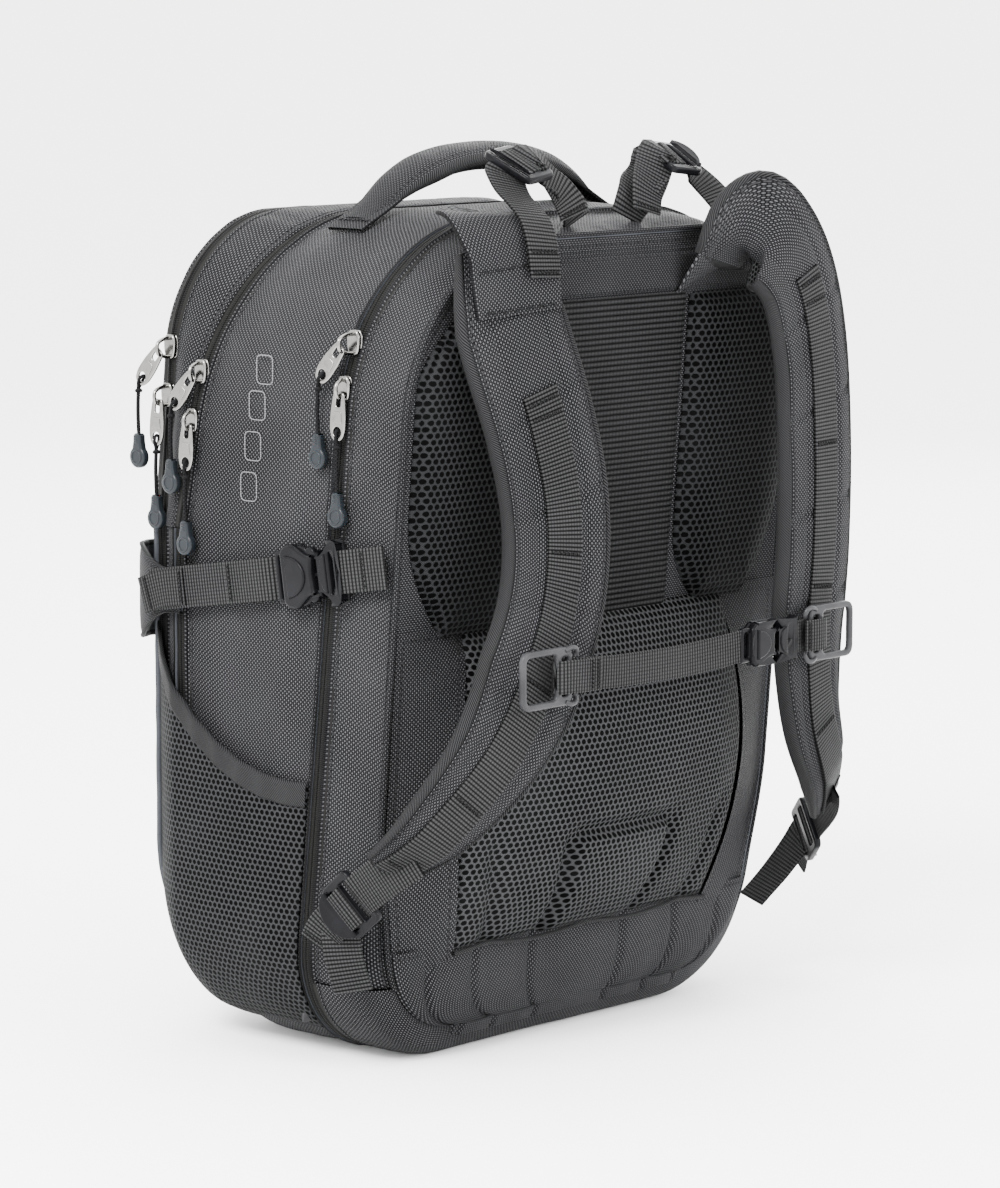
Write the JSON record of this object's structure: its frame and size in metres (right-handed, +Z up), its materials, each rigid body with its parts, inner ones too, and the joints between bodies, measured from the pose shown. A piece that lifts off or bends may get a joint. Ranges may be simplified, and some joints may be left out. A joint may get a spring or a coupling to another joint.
{
  "type": "school backpack",
  "caption": "Padded school backpack with laptop, main and front zip compartments, mesh side pockets, shoulder harness, compression strap and carry handle.",
  "frame": {"origin": "middle of the base on the floor, under the main compartment", "axes": "+Z up, -Y towards the wearer's back, +Y towards the front pocket, +X to the wearer's right"},
  "size_m": [0.4218, 0.3205, 0.537],
  "materials": {
    "nylon": "coarse ballistic weave, satin",
    "padded_nylon": "coarse ballistic weave over foam",
    "mesh_fabric": "air mesh with hexagonal openings",
    "webbing": "ribbed woven webbing",
    "webbing_and_lock": "ribbed webbing with a moulded lock",
    "zip_tape": "coated smooth tape with coil teeth",
    "nickel": "polished nickel",
    "pull_metal": "polished nickel tab with a rubber grip",
    "pull_cord": "braided cord",
    "black_plastic": "fine moulded texture",
    "grey_plastic": "satin moulded",
    "lining": "smooth lining",
    "foam": "padded divider",
    "frame_sheet": "plain sheet"
  },
  "bodies": {
    "pack": {"main_shell": "nylon", "lower_front_shell": "nylon", "base_shell": "nylon", "laptop_sleeve": "foam", "mesh_pockets": "mesh_fabric", "laptop_zip_front_tape": "zip_tape", "main_zip_rear_tape": "zip_tape"},
    "laptop_compartment": {"laptop_shell": "nylon", "back_frame_sheet": "frame_sheet", "laptop_zip_rear_tape": "zip_tape", "top_band": "nylon", "spine_panel": "webbing", "wing_pads": "mesh_fabric", "lumbar_pad": "mesh_fabric", "lower_wings": "nylon", "strap_anchor_webs": "webbing", "compression_rear_tabs": "webbing", "compression_male_buckles": "black_plastic"},
    "organiser": {"organiser_shell": "nylon", "organiser_panel": "lining", "main_zip_front_tape": "zip_tape", "pocket_zip_rear_tape": "zip_tape"},
    "front_pocket": {"pocket_shell": "nylon", "pocket_zip_front_tape": "zip_tape"},
    "handle": {"carry_handle": "padded_nylon"},
    "compression_strap": {"compression_wing": "nylon", "compression_webbing": "webbing", "compression_female_buckles": "black_plastic"},
    "strap_left": {"shoulder_strap_left": "padded_nylon", "strap_webbing_left": "webbing"},
    "strap_right": {"shoulder_strap_right": "padded_nylon", "strap_webbing_right": "webbing"},
    "lower_lock_left": {"lower_ladder_lock_left": "black_plastic"},
    "lower_lock_right": {"lower_ladder_lock_right": "black_plastic"},
    "lifter_left": {"load_lifter_left": "webbing_and_lock"},
    "lifter_right": {"load_lifter_right": "webbing_and_lock"},
    "sternum_left": {"sternum_slider_left": "grey_plastic"},
    "sternum_catch": {"sternum_webbing_left": "webbing", "sternum_female_buckle": "black_plastic"},
    "sternum_right": {"sternum_slider_right": "grey_plastic", "sternum_webbing_right": "webbing", "sternum_male_buckle": "black_plastic"},
    "laptop_slider_up": {"laptop_slider_upper": "nickel"},
    "laptop_slider_low": {"laptop_slider_lower": "nickel"},
    "laptop_pull_up": {"laptop_pull_upper": "pull_metal", "laptop_cord_upper": "pull_cord"},
    "laptop_pull_low": {"laptop_pull_lower": "pull_metal", "laptop_cord_lower": "pull_cord"},
    "main_slider_up": {"main_slider_upper": "nickel"},
    "main_slider_low": {"main_slider_lower": "nickel"},
    "main_pull_up": {"main_pull_upper": "pull_metal", "main_cord_upper": "pull_cord"},
    "main_pull_low": {"main_pull_lower": "pull_metal", "main_cord_lower": "pull_cord"},
    "pocket_slider_up": {"pocket_slider_upper": "nickel"},
    "pocket_slider_low": {"pocket_slider_lower": "nickel"},
    "pocket_pull_up": {"pocket_pull_upper": "pull_metal", "pocket_cord_upper": "pull_cord"},
    "pocket_pull_low": {"pocket_pull_lower": "pull_metal", "pocket_cord_lower": "pull_cord"}
  },
  "joints": [
    {"name": "laptop_open", "type": "hinge", "parent": "pack", "child": "laptop_compartment", "pos_m": [0, -0.0835, 0.048], "axis": [1, 0, 0], "range_deg": [0, 45]},
    {"name": "main_open", "type": "hinge", "parent": "pack", "child": "organiser", "pos_m": [0, 0.128, 0.309], "axis": [1, 0, 0], "range_deg": [-45, 0]},
    {"name": "pocket_open", "type": "hinge", "parent": "organiser", "child": "front_pocket", "pos_m": [0, 0.128, 0.311], "axis": [1, 0, 0], "range_deg": [-30, 0]},
    {"name": "handle_fold", "type": "hinge", "parent": "pack", "child": "handle", "pos_m": [0, -0.004, 0.5], "axis": [1, 0, 0], "range_deg": [-30, 30]},
    {"name": "compression_release", "type": "slide", "parent": "pack", "child": "compression_strap", "axis": [0, 0.9877, -0.1564], "range_m": [0, 0.03]},
    {"name": "strap_left_lift", "type": "hinge", "parent": "laptop_compartment", "child": "strap_left", "pos_m": [0, -0.117, 0.487], "axis": [1, 0, 0], "range_deg": [-25, 0]},
    {"name": "strap_right_lift", "type": "hinge", "parent": "laptop_compartment", "child": "strap_right", "pos_m": [0, -0.117, 0.487], "axis": [1, 0, 0], "range_deg": [-25, 0]},
    {"name": "lower_lock_left_tilt", "type": "hinge", "parent": "strap_left", "child": "lower_lock_left", "pos_m": [-0.18731, -0.08504, 0.11009], "axis": [0.2392, -0.6212, -0.7462], "range_deg": [-20, 20]},
    {"name": "lower_lock_right_tilt", "type": "hinge", "parent": "strap_right", "child": "lower_lock_right", "pos_m": [0.19701, -0.10434, 0.1018], "axis": [0.2079, 0.5593, 0.8025], "range_deg": [-20, 20]},
    {"name": "lifter_left_tilt", "type": "hinge", "parent": "laptop_compartment", "child": "lifter_left", "pos_m": [-0.024, -0.104, 0.498], "axis": [1, 0, 0], "range_deg": [-10, 10]},
    {"name": "lifter_right_tilt", "type": "hinge", "parent": "laptop_compartment", "child": "lifter_right", "pos_m": [0.024, -0.104, 0.498], "axis": [1, 0, 0], "range_deg": [-10, 10]},
    {"name": "sternum_left_height", "type": "slide", "parent": "strap_left", "child": "sternum_left", "axis": [0, 0, 1], "range_m": [-0.015, 0.015]},
    {"name": "sternum_right_height", "type": "slide", "parent": "strap_right", "child": "sternum_right", "axis": [0, 0, 1], "range_m": [-0.015, 0.015]},
    {"name": "sternum_release", "type": "slide", "parent": "sternum_left", "child": "sternum_catch", "axis": [-1, 0, 0], "range_m": [0, 0.025]},
    {"name": "laptop_slider_upper_run", "type": "hinge", "parent": "pack", "child": "laptop_slider_up", "pos_m": [-0.065, -0.06321, 0.3858], "axis": [0, 0.9945, 0.1044], "range_deg": [0, 50]},
    {"name": "laptop_slider_lower_run", "type": "slide", "parent": "pack", "child": "laptop_slider_low", "axis": [0, 0.1044, -0.9945], "range_m": [0, 0.004]},
    {"name": "laptop_pull_upper_swing", "type": "hinge", "parent": "laptop_slider_up", "child": "laptop_pull_up", "pos_m": [-0.1792, -0.06743, 0.427], "axis": [0, 0.7431, 0.6691], "range_deg": [0, 90]},
    {"name": "laptop_pull_lower_swing", "type": "hinge", "parent": "laptop_slider_low", "child": "laptop_pull_low", "pos_m": [-0.1792, -0.0647, 0.401], "axis": [0, 0.9976, 0.0698], "range_deg": [0, 90]},
    {"name": "main_slider_upper_run", "type": "hinge", "parent": "pack", "child": "main_slider_up", "pos_m": [-0.054, 0.06158, 0.3771], "axis": [0, 0.9806, 0.1961], "range_deg": [0, 50]},
    {"name": "main_slider_lower_run", "type": "slide", "parent": "pack", "child": "main_slider_low", "axis": [0, 0.1961, -0.9806], "range_m": [0, 0.004]},
    {"name": "main_pull_upper_swing", "type": "hinge", "parent": "main_slider_up", "child": "main_pull_up", "pos_m": [-0.1787, 0.0566, 0.403], "axis": [0, 0.7431, 0.6691], "range_deg": [0, 90]},
    {"name": "main_pull_lower_swing", "type": "hinge", "parent": "main_slider_low", "child": "main_pull_low", "pos_m": [-0.1787, 0.0624, 0.374], "axis": [0, 0.9976, 0.0698], "range_deg": [0, 90]},
    {"name": "pocket_slider_upper_run", "type": "hinge", "parent": "organiser", "child": "pocket_slider_up", "pos_m": [-0.082, 0.09355, 0.4145], "axis": [0, 0.995, 0.0995], "range_deg": [0, 50]},
    {"name": "pocket_slider_lower_run", "type": "slide", "parent": "organiser", "child": "pocket_slider_low", "axis": [0, 0.0995, -0.995], "range_m": [0, 0.012]},
    {"name": "pocket_pull_upper_swing", "type": "hinge", "parent": "pocket_slider_up", "child": "pocket_pull_up", "pos_m": [-0.1704, 0.0936, 0.415], "axis": [0, 0.7431, 0.6691], "range_deg": [0, 90]},
    {"name": "pocket_pull_lower_swing", "type": "hinge", "parent": "pocket_slider_low", "child": "pocket_pull_low", "pos_m": [-0.1704, 0.0965, 0.386], "axis": [0, 0.9976, 0.0698], "range_deg": [0, 90]}
  ],
  "couplings": [
    {"joint": "strap_right_lift", "follows": "strap_left_lift", "ratio": 1},
    {"joint": "sternum_right_height", "follows": "sternum_left_height", "ratio": 1}
  ]
}
